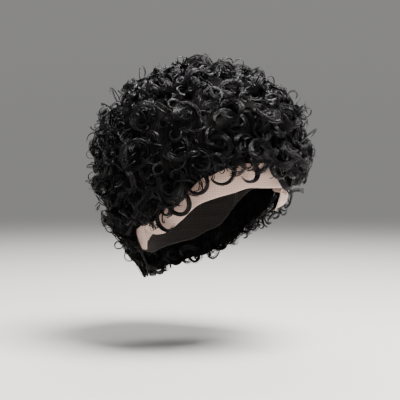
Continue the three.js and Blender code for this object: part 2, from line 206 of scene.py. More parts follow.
def new_piece(name, points_mm, faces, uvs, finish, node):
    """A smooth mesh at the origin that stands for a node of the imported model.

    faces is a list of index arrays, each (count, corners), and uvs has a place for every corner.
    """
    mesh = bpy.data.meshes.new(name)
    sizes = np.concatenate([np.full(len(f), f.shape[1]) for f in faces])
    loops = np.concatenate([f.reshape(-1) for f in faces]).astype(np.int32)
    starts = np.concatenate([[0], np.cumsum(sizes)[:-1]]).astype(np.int32)
    mesh.vertices.add(len(points_mm))
    mesh.vertices.foreach_set("co", (points_mm * MM).astype(np.float32).ravel())
    mesh.loops.add(len(loops))
    mesh.loops.foreach_set("vertex_index", loops)
    mesh.polygons.add(len(sizes))
    mesh.polygons.foreach_set("loop_start", starts)
    mesh.update(calc_edges=True)
    layer = mesh.uv_layers.new(name=UV_MAP)
    layer.uv.foreach_set("vector", np.concatenate([u.reshape(-1) for u in uvs]).astype(np.float32))
    mesh.polygons.foreach_set("use_smooth", np.ones(len(sizes), bool))
    mesh.materials.append(finish)
    piece = bpy.data.objects.new(name, mesh)
    bpy.context.scene.collection.objects.link(piece)
    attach(piece, "root")
    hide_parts(node)
    print(f"{name}: {int((sizes - 2).sum())} triangles")


def quads(index):
    """Quads between the neighbours in a grid of point numbers."""
    here, below = index[:-1], index[1:]
    return np.stack([here[:, :-1], below[:, :-1], below[:, 1:], here[:, 1:]], -1).reshape(-1, 4)


def wall(outer, inner, ring):
    """Points and faces of a thin solid: two grids, and strips along their edges.

    A ring has its first column once more as its last.
    """
    points = np.concatenate([outer.reshape(-1, 3), inner.reshape(-1, 3)])
    front, rear = np.arange(len(points)).reshape(2, *outer.shape[:2])
    if ring:
        front, rear = (np.hstack([index, index[:, :1]]) for index in (front, rear))
    edges = [np.stack([front[-1], rear[-1]]), np.stack([rear[0], front[0]])]
    if not ring:
        edges += [np.stack([front[:, 0], rear[:, 0]], 1), np.stack([rear[:, -1], front[:, -1]], 1)]
    return points, np.concatenate([quads(front), quads(rear)[:, ::-1], *map(quads, edges)])


print("faces of the smallest wall:", len(wall(np.zeros((2, 2, 3)), np.ones((2, 2, 3)), False)[1]))

# %% [markdown]
# ## Finishes
#
# Each material starts from what the real one is. Colours are written as sRGB hex, the way a colour
# picker shows them, and one function turns them to the linear values that Blender works in. Nodes
# could be laid out by hand, but small functions let the finishes share their parts.

# %% Finishes: colour and node helpers
MIX_SHARE, MIX_FROM, MIX_TO, MIX_RESULT = 0, 6, 7, 2  # sockets of a mix node that mixes colours


def linear(hex_colour):
    """sRGB hex to linear RGBA: c/12.92 below 0.04045, else ((c + 0.055)/1.055)^2.4."""
    c = np.array([int(hex_colour[i:i + 2], 16) for i in (1, 3, 5)]) / 255
    lin = np.where(c <= 0.04045, c / 12.92, ((c + 0.055) / 1.055) ** 2.4)
    return (*lin.tolist(), 1.0)


def feed(tree, node, inputs):
    """Each input of a node is set to its value, or linked to the socket given for it."""
    for key, value in inputs.items():
        if isinstance(value, bpy.types.NodeSocket):
            tree.links.new(value, node.inputs[key])
        else:
            node.inputs[key].default_value = value


def add_node(tree, kind, inputs, **settings):
    """One node with its settings and its inputs."""
    node = tree.nodes.new(kind)
    for key, value in settings.items():
        setattr(node, key, value)
    feed(tree, node, inputs)
    return node


def new_material(name):
    """A Principled material, its node tree and its shader."""
    material = bpy.data.materials.new(name)
    material.use_nodes = True
    print("finish:", name)
    return material, material.node_tree, material.node_tree.nodes["Principled BSDF"]


def uv_place(tree):
    """The socket that gives a piece's own UV."""
    return add_node(tree, "ShaderNodeUVMap", {}, uv_map=UV_MAP).outputs["UV"]


def ramp(tree, value, stops):
    """A colour read at a value from stops of (place, hex)."""
    node = add_node(tree, "ShaderNodeValToRGB", {"Fac": value})
    while len(node.color_ramp.elements) < len(stops):
        node.color_ramp.elements.new(0.5)
    for element, (place, colour) in zip(node.color_ramp.elements, stops):
        element.position, element.color = place, linear(colour)
    return node.outputs["Color"]


def mix(tree, share, low, high):
    """The colour that share of the way from low to high, each a hex or a socket."""
    low, high = (linear(c) if isinstance(c, str) else c for c in (low, high))
    inputs = {MIX_SHARE: share, MIX_FROM: low, MIX_TO: high}
    return add_node(tree, "ShaderNodeMix", inputs, data_type="RGBA").outputs[MIX_RESULT]


def remap(tree, value, before, after, kind="SMOOTHSTEP"):
    """A value carried from one range to another and held at the ends of the second."""
    inputs = {"Value": value, "From Min": before[0], "From Max": before[1],
              "To Min": after[0], "To Max": after[1]}
    return add_node(tree, "ShaderNodeMapRange", inputs, interpolation_type=kind).outputs[0]


def bump(tree, height, strength, depth_m):
    """Normals of a surface that a height of 0 to 1 raises by a depth."""
    inputs = {"Height": height, "Strength": strength, "Distance": depth_m}
    return add_node(tree, "ShaderNodeBump", inputs).outputs["Normal"]


print("sRGB #808080 in linear light:", round(linear("#808080")[0], 3))

# %% [markdown]
# ### Hair fibre
#
# The hair is black modacrylic, extruded and set in a curl. Such a fibre has a long narrow gleam where
# it turns to the light and is black elsewhere. Blender's hair shader is made for curves and these
# strands are meshes, so a Principled surface is used. Across the UV it goes from black to dark grey
# and from glossy to satin, a place for each strand, and upwards it carries painted shade: darkest at
# the root, where the strand lies deep under the curls.

# %% Hair fibre: a shade and a gloss for each strand
hair_fibre, tree, shader = new_material("black_modacrylic_fibre")
axes = add_node(tree, "ShaderNodeSeparateXYZ", {0: uv_place(tree)}).outputs
blacks = [(0.0, "#040405"), (0.5, "#0a090b"), (0.8, "#161418"), (1.0, "#2b272d")]
# Painted shade: every strand is mixed towards near black at its root, where it lies deep under the curls.
painted_root_shade = remap(tree, axes["Y"], (0.0, 0.45), (0.25, 1.0))
feed(tree, shader, {
    "Base Color": mix(tree, painted_root_shade, "#050506", ramp(tree, axes["X"], blacks)),
    "Roughness": remap(tree, axes["X"], (0.0, 1.0), (0.26, 0.42), "LINEAR"),
    "IOR": 1.55, "Specular IOR Level": 0.2})

# %% [markdown]
# ### Packed hair
#
# Between the curls the roots lie close together, so little light comes back and no single fibre
# shows. Thousands of strands more would give that too. A noise that is stretched along the hair, as
# two near blacks and as a bump, gives the same streaks on one plain surface.

# %% Packed hair: near black, in streaks
STREAKS = (80.0, 6.0, 1.0)  # across and along for each 100 mm, so fibres are about 1.2 mm apart
under_hair, tree, shader = new_material("packed_black_fibre")
place = add_node(tree, "ShaderNodeMapping", {"Vector": uv_place(tree), "Scale": STREAKS}).outputs[0]
noise = {"Vector": place, "Scale": 1.0, "Detail": 3.0, "Distortion": 1.6}
streak = add_node(tree, "ShaderNodeTexNoise", noise).outputs["Fac"]
feed(tree, shader, {
    "Base Color": ramp(tree, streak, [(0.4, "#050505"), (0.62, "#1a1919")]),
    "Normal": bump(tree, streak, 0.7, 0.001), "Roughness": 0.7, "Specular IOR Level": 0.0})

# %% [markdown]
# ### Stretch net
#
# The cap is knitted black nylon, soft and matt. Modelled meshes would take millions of faces, so
# the borders of Voronoi cells stand for the threads, in colour and as a bump.

# %% Stretch net: threads round dark meshes
UV_UNIT = 100.0  # mm of cloth that one unit of UV covers
NET_MESH = 2.2  # mm; real net has about 1 mm, and this is as fine as shows here


def weave(tree, mesh_mm, irregular, thread):
    """1 on the borders of cells of that size and 0 inside them, eased over the thread's edges."""
    inputs = {"Vector": uv_place(tree), "Scale": UV_UNIT / mesh_mm, "Randomness": irregular}
    cells = add_node(tree, "ShaderNodeTexVoronoi", inputs, feature="DISTANCE_TO_EDGE")
    return remap(tree, cells.outputs["Distance"], thread, (1.0, 0.0))


cap_net, tree, shader = new_material("black_nylon_stretch_net")
thread = weave(tree, NET_MESH, 0.35, (0.04, 0.22))
feed(tree, shader, {
    "Base Color": mix(tree, thread, "#0d0b0a", "#332c28"),
    "Normal": bump(tree, thread, 0.6, 0.0004), "Roughness": 0.85, "Sheen Weight": 0.15})

# %% [markdown]
# ### Lace
#
# The lace is skin-toned monofilament with fine open meshes, so that it vanishes on the forehead. It
# is drawn like the net, only paler, more even, and with a slow blush in the cloth behind it.

# %% Lace: pale threads on a blush
LACE_MESH = 1.6  # mm; real lace has 0.8 mm, and this is as fine as shows here
lace, tree, shader = new_material("skin_toned_monofilament_lace")
thread = weave(tree, LACE_MESH, 0.15, (0.05, 0.25))
noise = {"Vector": uv_place(tree), "Scale": 6.0, "Detail": 2.0}
blush = add_node(tree, "ShaderNodeTexNoise", noise).outputs["Fac"]
feed(tree, shader, {
    "Base Color": mix(tree, thread, mix(tree, blush, "#a07c70", "#c9a797"), "#dfc3b4"),
    "Normal": bump(tree, thread, 0.5, 0.0003), "Roughness": 0.6, "Sheen Weight": 0.2})

# %% [markdown]
# ## Camera, floor and light
#
# The photograph is a long-lens portrait, almost level with the wig. A large soft lamp stands high in
# front, so the crown of the hair shines and its lower edge stays black, and a smaller one behind
# draws its outline. The studio is pale above and darker at the horizon, where it meets the pale floor
# without a line. A floor that curves up would do that too; one that fades is simpler.

# %% Camera and lamps
AZIMUTH, ELEVATION, DISTANCE = -27.0, 2.6, 1400.0
TARGET_DOWN, TARGET_LEFT, VIEW_ANGLE, SENSOR, LAMP_AIM_DOWN = 117.0, 3.6, 16.85, 36.0, 90.0
# Azimuth, elevation, distance in mm, side in m, watts and colour.
SOFTBOXES = {"key_softbox": (24.0, 69.0, 1200.0, 0.7, 88.0, "#fffcfa"),
             "rim_softbox": (150.0, 48.0, 1600.0, 0.6, 24.0, "#ffffff")}


def aim(name, data, azimuth, elevation, distance, down, left=0.0):
    """An object that stands off in a direction and looks back at a point that far down and left."""
    a, e = math.radians(azimuth), math.radians(elevation)
    back = np.array([math.sin(a) * math.cos(e), -math.cos(a) * math.cos(e), math.sin(e)])
    right = np.array([math.cos(a), math.sin(a), 0.0])
    place = back * distance - right * left - np.array([0, 0, down])
    matrix = np.eye(4)
    matrix[:3, :3] = np.stack([right, np.cross(back, right), back], 1)
    matrix[:3, 3] = place * MM
    made = bpy.data.objects.new(name, data)
    bpy.context.scene.collection.objects.link(made)
    made.matrix_world = Matrix(matrix.tolist())
    print(name, "at, mm:", np.round(place).tolist())
    return made


lens = bpy.data.cameras.new("camera")
lens.sensor_width = SENSOR
lens.lens = SENSOR / 2 / math.tan(math.radians(VIEW_ANGLE / 2))
bpy.context.scene.camera = aim("camera", lens, AZIMUTH, ELEVATION, DISTANCE, TARGET_DOWN, TARGET_LEFT)
for name, (azimuth, elevation, distance, side, watts, colour) in SOFTBOXES.items():
    lamp = bpy.data.lights.new(name, "AREA")
    lamp.size, lamp.energy, lamp.color = side, watts, linear(colour)[:3]
    aim(name, lamp, azimuth, elevation, distance, LAMP_AIM_DOWN)

# %% Floor and studio
FLOOR_DROP, FLOOR_RADIUS, FLOOR_CORNERS = 265.0, 6000.0, 96
FLOOR_FADES, SKY_STRENGTH = (0.5, 2.5), 0.65  # the floor fades over these distances from the wig, in m
angle = np.linspace(0, 2 * np.pi, FLOOR_CORNERS, endpoint=False)
rim = np.stack([np.cos(angle), np.sin(angle), np.zeros_like(angle)], -1) * FLOOR_RADIUS
rim[:, 2] = -FLOOR_DROP
mesh = bpy.data.meshes.new("floor")
mesh.from_pydata((rim * MM).tolist(), [], [list(range(len(rim)))])
floor = bpy.data.objects.new("floor", mesh)
bpy.context.scene.collection.objects.link(floor)
paper, tree, shader = new_material("pale_matt_paper")
place = add_node(tree, "ShaderNodeTexCoord", {}).outputs["Object"]
grain = add_node(tree, "ShaderNodeTexNoise", {"Vector": place, "Scale": 3.3, "Detail": 2.0})
away = add_node(tree, "ShaderNodeVectorMath", {0: place}, operation="LENGTH")
feed(tree, shader, {
    "Base Color": mix(tree, grain.outputs["Fac"], "#c0bebc", "#c6c4c2"), "Roughness": 0.9,
    "Alpha": remap(tree, away.outputs["Value"], FLOOR_FADES, (1.0, 0.0))})
mesh.materials.append(paper)

# The sky's grey follows the height of the direction that is looked in.
world = bpy.data.worlds.new("studio")
world.use_nodes = True
sky = world.node_tree
looked = add_node(sky, "ShaderNodeTexCoord", {}).outputs["Generated"]
height = add_node(sky, "ShaderNodeSeparateXYZ", {0: looked}).outputs["Z"]
greys = [(0.0, "#a5a4a3"), (0.25, "#aeadac"), (1.0, "#d2d1d0")]
feed(sky, sky.nodes["Background"], {"Color": ramp(sky, height, greys), "Strength": SKY_STRENGTH})
bpy.context.scene.world = world

# %% [markdown]
# ## Net cap
#
# The cap is knitted net, sewn from a crown and five panels, with rows of hair weft stitched round
# its inside. The wefts show where the cap is open. A bump would look flat at that angle, so they are
# real ridges: the inner surface is pushed in a little along each row.

# %% Net cap: panels with weft rows inside
CAP_CROWN_FALL, CAP_NAPE_FALL = 50.0, 95.0
# From and to turn, and the fall of the upper edge.
CAP_PANELS = {"cap_front": (-60, 60, CAP_CROWN_FALL), "cap_side_left": (60, 120, CAP_CROWN_FALL),
              "cap_back": (120, 240, CAP_CROWN_FALL), "cap_nape": (120, 240, CAP_NAPE_FALL),
              "cap_side_right": (240, 300, CAP_CROWN_FALL)}
CROWN_STEP, CROWN_ROWS, CROWN_TOP, PANEL_STEP, PANEL_ROWS = 6.0, 42, 0.02, 4, 48
WEFT_STEP, WEFT_HEIGHT, WEFT_HALF = 8.5, 0.7, 1.3
SEAM = 0.12  # degrees that a piece of cloth keeps from its neighbour
UV_ROUND = 0.85  # units of UV for a radian of turn


def weft_ridge(fall):
    """A rounded ridge at every step of fall: cosine bump within the half width, else 0."""
    off = (np.asarray(fall) + WEFT_STEP / 2) % WEFT_STEP - WEFT_STEP / 2
    ridge = 0.5 + 0.5 * np.cos(np.pi * off / WEFT_HALF)
    return WEFT_HEIGHT * np.where(np.abs(off) < WEFT_HALF, ridge, 0)


def cloth_uv(turn, fall, faces):
    """UV in units of 100 mm: along by turn, and down by fall on a circle of the crown's size."""
    along, down = np.radians(turn) * UV_ROUND, np.radians(fall) * CROWN_DROP / UV_UNIT
    flat = np.stack([along, down], -1).reshape(-1, 2)
    return np.concatenate([flat, flat])[faces]


def add_cloth(name, turn, fall, inner, outer, ring, finish, node):
    """A wall over a grid of places between two lifts, closed at its edges."""
    points, faces = wall(on_head(turn, fall, outer), on_head(turn, fall, inner), ring)
    new_piece(name, points, [faces], [cloth_uv(turn, fall, faces)], finish, node)


columns = np.arange(-180, 180, CROWN_STEP)
turn, share = np.meshgrid(columns, np.linspace(CROWN_TOP, 1, CROWN_ROWS))
fall = share * (CAP_CROWN_FALL - SEAM)
add_cloth("crown_net", turn, fall, -weft_ridge(fall), CAP_WALL, True, cap_net, "cap_crown")
for node, (start, end, top) in CAP_PANELS.items():
    columns = np.linspace(start + SEAM, end - SEAM, (end - start) // PANEL_STEP + 1)
    turn, share = np.meshgrid(columns, np.linspace(0, 1, PANEL_ROWS))
    bottom = CAP_NAPE_FALL if node == "cap_back" else cap_fall(turn)
    fall = lerp(top + SEAM, bottom - SEAM, share)
    add_cloth(node + "_net", turn, fall, -weft_ridge(fall), CAP_WALL, False, cap_net, node)

# %% [markdown]
# ## Lace front and ear tabs
#
# The lace strip follows the forehead. The tabs are short tongues of the same lace with a turned and
# stitched edge; the left one stands off the head in a soft fold. Cloth simulation could drape them,
# but they are sewn to the form of a head, so they are bent over it by formula.

# %% Lace: the front strip and the two tabs
LACE_COLUMNS, LACE_ROWS, LACE_OFF = 113, 24, 0.1
RUFFLE_HEIGHT, RUFFLE_WAVES, RUFFLE_POWER = 0.1, 23, 4
columns = np.linspace(-LACE_END_TURN, LACE_END_TURN, LACE_COLUMNS)
turn, share = np.meshgrid(columns, np.linspace(0, 1, LACE_ROWS))
fall = lerp(rim_fall(turn) - lace_depth(turn) + SEAM, rim_fall(turn), share)
ruffle = RUFFLE_HEIGHT * np.sin(np.radians(turn * RUFFLE_WAVES)) * share**RUFFLE_POWER + LACE_OFF
add_cloth("lace_strip", turn, fall, ruffle, LACE_WALL + ruffle, False, lace, "lace_front")

# Turn of the middle, half the width, length, sweep, swell off the head, and how far it is one-sided.
EAR_TABS = {"ear_tab_right": (-88.0, 12.0, 22.0, -8.0, 0.6, 0.0),
            "ear_tab_left": (76.0, 11.0, 21.0, 2.0, 19.0, 1.0)}
TAB_TIP_WIDTH, TAB_SEAM, TAB_SWELL_FROM, TAB_SWELL_EASED, TAB_FOLD = 0.35, 0.12, 0.2, 0.8, 0.14
TAB_COLUMNS, TAB_ROWS, TAB_HEM, TAB_HEM_POWER, TAB_HEM_HEIGHT = 25, 36, 0.1, 8, 0.35
for node, (middle, half, length, sweep, flare, twist) in EAR_TABS.items():
    across, down = np.meshgrid(np.linspace(-1, 1, TAB_COLUMNS), np.linspace(0, 1, TAB_ROWS))
    width = half * lerp(1, TAB_TIP_WIDTH, down)
    turn = middle + sweep * down + across * width
    sewn_to = np.where(np.abs(turn) > LACE_END_TURN, cap_fall(turn), rim_fall(turn))
    top = lerp(sewn_to, rim_fall(middle), down)
    fall = top + TAB_SEAM + down * length / (CROWN_DROP * math.radians(1))
    swell = flare * np.sin(np.pi * lerp(TAB_SWELL_FROM, 1, down**TAB_SWELL_EASED))
    lift = swell * lerp(1, (across + 1) / 2, twist) * ease(down / TAB_FOLD)
    hem = np.maximum(np.abs(across) ** TAB_HEM_POWER, ease((down - 1 + TAB_HEM) / TAB_HEM))
    outer = lift + LACE_WALL + TAB_HEM_HEIGHT * hem
    add_cloth(node + "_lace", turn, fall, lift, outer, False, lace, node)

# %% [markdown]
# ## Hair under the curls
#
# Below the curls the hair is a dark packed mass. Strands alone would let the cap shine through, so
# a closed wall lies over the cap, lumpy on the outside, thin at the hem, and short of the edge so
# that only loose hair shows there. It is split where the solids are, and the sections lap a little.

# %% Hair under the curls: a dark wall in three sections
CURL_RELIEF, MASS_HEM, MASS_FADES, LEAST_MASS = 19.0, 11.0, 22.0, 1.6
MASS_SIDE_HEM, MASS_SIDE_FROM, MASS_SIDE_OVER = 4.5, 56.0, 16.0
MASS_STEP, MASS_CROWN_ROWS, MASS_ROWS = 3.0, 20, 24
LUMPS_ROUND, LUMPS_SLANT, LUMPS_DOWN, LUMP_HEIGHT, LUMPS_FROM = 11, 3, 9.0, 2.0, 20
HAIR_SECTIONS = {"fringe_hair": (-68, 62), "back_hair": (62, 292)}  # from and to turn
CROWN_FALL = 52.0
LAP, LAP_DIP, LAP_LEAST = 2.5, 2.5, 0.4  # degrees of the lap, and mm of its dip and least height


def mass_hem(turn):
    """How far above the hem the mass stops: less at the sides and the nape than over the lace."""
    aside = ease((np.abs(wrap(turn)) - MASS_SIDE_FROM) / MASS_SIDE_OVER)
    return lerp(MASS_HEM, MASS_SIDE_HEM, aside)


def mass_lift(turn, fall):
    """Loft less the depth of the curls, with lumps from two crossed waves, thin towards the hem."""
    slanted = np.sin(np.radians(turn * LUMPS_ROUND + LUMPS_SLANT * fall))
    lump = slanted * np.sin(np.radians(fall * LUMPS_DOWN)) * LUMP_HEIGHT
    fade = 1 - ease((fall - hem_fall(turn) + mass_hem(turn) + MASS_FADES) / MASS_FADES)
    deep = hair_stand(turn, fall) - CURL_RELIEF + lump * ease(fall / LUMPS_FROM)
    return HAIR_SEAT + LEAST_MASS + np.maximum(deep - HAIR_SEAT - LEAST_MASS, 0) * fade


def add_mass(node, turn, fall, past, ring):
    """A section, which dips below its neighbour where it runs past its edge by 0 to 1 of the lap."""
    dipped = mass_lift(turn, fall) - LAP_DIP * np.clip(past, 0, 1)
    outer = np.maximum(dipped, HAIR_SEAT + LAP_LEAST)
    add_cloth(node + "_mass", turn, fall, HAIR_SEAT, outer, ring, under_hair, node)


columns = np.arange(-180, 180, MASS_STEP)
turn, fall = np.meshgrid(columns, np.linspace(1, CROWN_FALL + LAP, MASS_CROWN_ROWS))
add_mass("crown_hair", turn, fall, (fall - CROWN_FALL) / LAP, True)
for node, (start, end) in HAIR_SECTIONS.items():
    columns = np.linspace(start - LAP, end + LAP, int((end - start) / MASS_STEP) + 1)
    turn, share = np.meshgrid(columns, np.linspace(0, 1, MASS_ROWS))
    fall = lerp(CROWN_FALL - LAP, hem_fall(turn) - mass_hem(turn), share)
    past = np.maximum.reduce([start - turn, turn - end, CROWN_FALL - fall]) / LAP
    add_mass(node, turn, fall, past, False)

# %% [markdown]
# ## Where the locks grow
#
# The locks sit in rows, one below the other, as they are sewn to the cap, and each curl takes its
# radius, tilt, sense and start from a series of its own. Multiples of an irrational step, less their
# whole part, spread evenly and never repeat. Random places would look as good, but these are the
# curls of the solids and have to lie where those do.
#
# A group of curls is a dictionary with one number for all or an array with one for each. `turn`,
# `fall` and `lift` place the centre; `tilt` and `heading` lean the axis. The line goes round it by
# `sweep` from `start`, `closes` by a share of its `radius` and climbs by `rise`. `stem` runs on down
# to the root and `flare` widens it. `band` is the width of the lock and `point` its share at the tip.
# `oval`, `frizz`, `winds_in` and `apart` say how the strands and their `clumps` differ.

# %% Locks: the rows of the solids
FULL_TURN = 2 * np.pi
# What a group has unless it says otherwise; the last is how far its shades are raised, a painted lighter
# tone for curls that the lamp lights on the crown.
CURL = dict(tilt=0.0, heading=0.0, start=0.0, closes=0.0, rise=0.0, stem=0.0, flare=0.0,
            winds_in=0.0, apart=1.0, painted_light=0.0)
ROW_STEP, FIRST_ROW, LAST_ROW, LOCK_PITCH, LOCK_LEVEL = 17.0, 9.0, 152.0, 42.0, 30.0
LOCK_HEM, HEM_ROW, HEM_ROW_TURN, HEM_ROW_MISSES = 14.0, 6.0, 24.0, 14.0
FRINGE_FROM, FRINGE_TO = -45.0, 25.0
CURL_RADIUS, CURL_TILT, CURL_TURNS = (12.5, 3.5), (0.0, 45.0), (0.86, 0.12)  # least, and what is added
CURL_CLOSES, CURL_RISE, LOCK_TIP, LOCK_BAND, STEM = 0.4, 17.0, 3.5, 9.5, 0.38
NAPE_CURL, NAPE_FROM, NAPE_OVER = 0.6, 96.0, 36.0
HOOKED_TURN, HOOKED_FALL = -60.0, 100.0  # the hem lock here is left to the fringe hook at its place
SERIES = {"radius": 0.7548777, "tilt": 0.5698403, "heading": 0.8191725, "sense": 0.6710436,
          "turns": 0.5497005, "start": 0.4502995, "row": 0.618034}


def spread(i, name):
    """The fractional part of 0.5 + i times the series' own step."""
    return (0.5 + i * SERIES[name]) % 1


def spread_over(i, name, span):
    """The first of the span plus a spread share of the second."""
    return span[0] + span[1] * spread(i, name)


def nape_size(turn):
    """Curls are smaller towards the nape."""
    return lerp(1, NAPE_CURL, ease((np.abs(turn) - NAPE_FROM) / NAPE_OVER))


def clear_of_tabs(turn, room):
    """Which turns lie further from the middle of both ear tabs than the room for each."""
    return np.all([np.abs(turn - tab[0]) > gap for tab, gap in zip(EAR_TABS.values(), room)], 0)


def beside_fringe(turn):
    """Which turns lie outside the part of the fringe that has its own hooks."""
    return (turn < FRINGE_FROM) | (turn > FRINGE_TO)


def sewn_places():
    """Turn, fall and size of the locks in their rows, then of the row along the hem."""
    turns, falls, sizes = [], [], []
    for row, fall in enumerate(np.arange(FIRST_ROW, LAST_ROW + 1e-6, ROW_STEP)):
        across = on_head(90, fall, LOCK_LEVEL)[0] - on_head(0, fall, LOCK_LEVEL)[1]
        count = max(3, math.floor(math.pi * across / LOCK_PITCH + 0.5))
        turn = wrap(360 * (np.arange(count) + spread(row, "row")) / count)
        turn = turn[fall <= hem_fall(turn) - LOCK_HEM]
        turns.append(turn)
        falls.append(np.full_like(turn, fall))
        sizes.append(np.ones_like(turn))
    hem = np.arange(-180, 180, HEM_ROW_TURN)
    hem = hem[clear_of_tabs(hem, (HEM_ROW_MISSES, HEM_ROW_MISSES)) & beside_fringe(hem)]
    turns.append(hem)
    falls.append(hem_fall(hem) - HEM_ROW)
    sizes.append(nape_size(hem))
    return np.concatenate(turns), np.concatenate(falls), np.concatenate(sizes)


def sewn_locks():
    """The curls of the solids, as bands of many strands."""
    turn, fall, size = sewn_places()
    i = np.flatnonzero((turn != HOOKED_TURN) | (fall < HOOKED_FALL))
    turn, fall, size = turn[i], fall[i], size[i]
    radius = size * spread_over(i, "radius", CURL_RADIUS)
    tilt = np.radians(spread_over(i, "tilt", CURL_TILT))
    lift = hair_stand(turn, fall) - size * LOCK_TIP - radius * (1 - CURL_CLOSES) * np.sin(tilt)
    sense = np.where(spread(i, "sense") < 0.5, -1, 1)
    return dict(
        CURL, turn=turn, fall=fall, lift=np.maximum(lift, HAIR_SEAT), radius=radius, tilt=tilt,
        heading=FULL_TURN * spread(i, "heading"), start=FULL_TURN * spread(i, "start"),
        sweep=sense * FULL_TURN * spread_over(i, "turns", CURL_TURNS), closes=CURL_CLOSES,
        rise=size * CURL_RISE, band=size * LOCK_BAND, stem=STEM, point=0.45, oval=0.06, frizz=0.7,
        winds_in=1.3, strands=44, clumps=8, stations=16, thick=(0.23, 0.35))


sewn = sewn_locks()
print("sewn locks:", len(sewn["turn"]))

# %% [markdown]
# ## Curls between the locks
#
# Sewn rows alone would leave bare lanes. Smaller curls fill the room between them, and below those a
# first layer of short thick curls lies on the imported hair, so that no plain surface shows. Both are
# spread like the seeds of a sunflower, equal areas down the head and a golden angle round it, which
# leaves no rows and no heaps. On the crown, wide wound curls stand on edge and make the bumps of the
# upper outline.

# %% Curls between the locks
GOLDEN_TURN = 137.50776
LOW_CURLS, LOW_CLEAR, FILL_CURLS, FILL_CLEAR = 520, 13, 360, 11
CROWN_LEAN, CROWN_LEAN_TO = 40, 60  # degrees more that fill curls lean at the crown, and where it ends
ROSETTES, ROSETTES_TO, ROSETTES_START = 14, 50.0, -55.0  # count, lowest fall, and turn of the first
ROSETTE_RADIUS, ROSETTE_TILT, ROSETTE_SINKS = (17.0, 12.5), (58.0, 80.0), 2.0


def sunflower(count, clear_of_hem):
    """Places spread evenly over the head, without those nearer to the hem than the given fall."""
    falls = np.linspace(2, 158, 400)
    area = np.cumsum(np.linalg.norm(head_surface(90.0, falls)[:, :1], axis=1))
    fall = np.interp((np.arange(count) + 0.5) / count, area / area[-1], falls)
    turn = wrap(GOLDEN_TURN * np.arange(count))
    keep = fall <= hem_fall(turn) - clear_of_hem
    return turn[keep], fall[keep]


def any_angle(rng, n):
    """Angles all round."""
    return rng.uniform(0, FULL_TURN, n)


def either_way(rng, turns, n):
    """Turns of a curl, to the one side or the other, in radians."""
    return rng.choice([-1, 1], n) * FULL_TURN * rng.uniform(*turns, n)


def any_way(rng, n, turns, closes, rise, band):
    """Curls that head anywhere and turn either way; the rest is drawn between two values each."""
    return dict(CURL, heading=any_angle(rng, n), start=any_angle(rng, n), sweep=either_way(rng, turns, n),
                closes=rng.uniform(*closes, n), rise=rng.uniform(*rise, n), band=rng.uniform(*band, n))


def low_curls(rng):
    """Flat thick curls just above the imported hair."""
    turn, fall = sunflower(LOW_CURLS, LOW_CLEAR)
    n = len(turn)
    radius, tilt = rng.uniform(5.5, 10.0, n), np.radians(rng.uniform(0, 50, n))
    lift = mass_lift(turn, fall) + rng.uniform(2.5, 8.0, n)
    return dict(
        any_way(rng, n, turns=(0.7, 1.0), closes=(0.2, 0.5), rise=(2, 6), band=(5, 9)),
        turn=turn, fall=fall, lift=lift, radius=radius, tilt=tilt, stem=0.2, point=0.45, oval=0.12,
        frizz=0.7, winds_in=0.5, strands=6, clumps=3, stations=10, thick=(0.42, 0.62))


def fill_curls(rng):
    """Curls of every tilt between the sewn locks, from half way up to the outside of the hair."""
    turn, fall = sunflower(FILL_CURLS, FILL_CLEAR)
    n = len(turn)
    radius = rng.uniform(9.0, 13.5, n)
    tilt = np.radians(lerp(CROWN_LEAN, 0, ease(fall / CROWN_LEAN_TO)) + rng.uniform(0, 50, n))
    lift = hair_stand(turn, fall) * rng.uniform(0.58, 0.92, n) - 2 - radius * 0.7 * np.sin(tilt)
    return dict(
        any_way(rng, n, turns=(0.8, 1.15), closes=(0.2, 0.45), rise=(12, 18), band=(5, 8.5)),
        turn=turn, fall=fall, lift=np.maximum(lift, HAIR_SEAT), radius=radius, tilt=tilt, stem=STEM,
        point=0.35, oval=0.14, frizz=0.6, winds_in=0.8, strands=10, clumps=3, stations=13,
        thick=(0.26, 0.38))


def crown_rosettes(rng):
    """Wound curls that stand on edge on the crown and face outwards, the largest at the top."""
    i = np.arange(ROSETTES)
    turn, fall = wrap(ROSETTES_START + GOLDEN_TURN * i), ROSETTES_TO * np.sqrt((i + 0.5) / ROSETTES)
    radius = np.linspace(*ROSETTE_RADIUS, ROSETTES)
    tilt = np.radians(rng.uniform(*ROSETTE_TILT, ROSETTES))
    # Their shades are raised as painted light: a paler black where the lamp falls on the crown.
    return dict(
        CURL, turn=turn, fall=fall, lift=hair_stand(turn, fall) - radius * np.sin(tilt) - ROSETTE_SINKS,
        radius=radius, tilt=tilt, heading=rng.uniform(-0.5, 0.5, ROSETTES),
        start=any_angle(rng, ROSETTES), sweep=either_way(rng, (1.0, 1.3), ROSETTES), closes=0.35,
        rise=8.0, band=8.0, stem=0.2, point=0.45, oval=0.06, frizz=0.6, winds_in=1.2, painted_light=0.35,
        strands=32, clumps=6, stations=16, thick=(0.23, 0.35))


rng = np.random.default_rng(7)
low, fill = low_curls(rng), fill_curls(rng)
crown_rng = np.random.default_rng(13)
rosettes = crown_rosettes(crown_rng)
print("curls between them:", len(low["turn"]), "low,", len(fill["turn"]), "above,", ROSETTES, "on top")

# %% [markdown]
# ## Rings and hooks
#
# What makes the edge of curly hair is its thin loops. Rings of a few strands stand up out of it all
# over, two wide loops rise over the top, and along the lower edge strands come down, round a small
# circle and turn up again. More of these hooks fill the hair behind the left ear. Each could be
# drawn as a curve of its own; as groups they are made by the same function as every other curl.

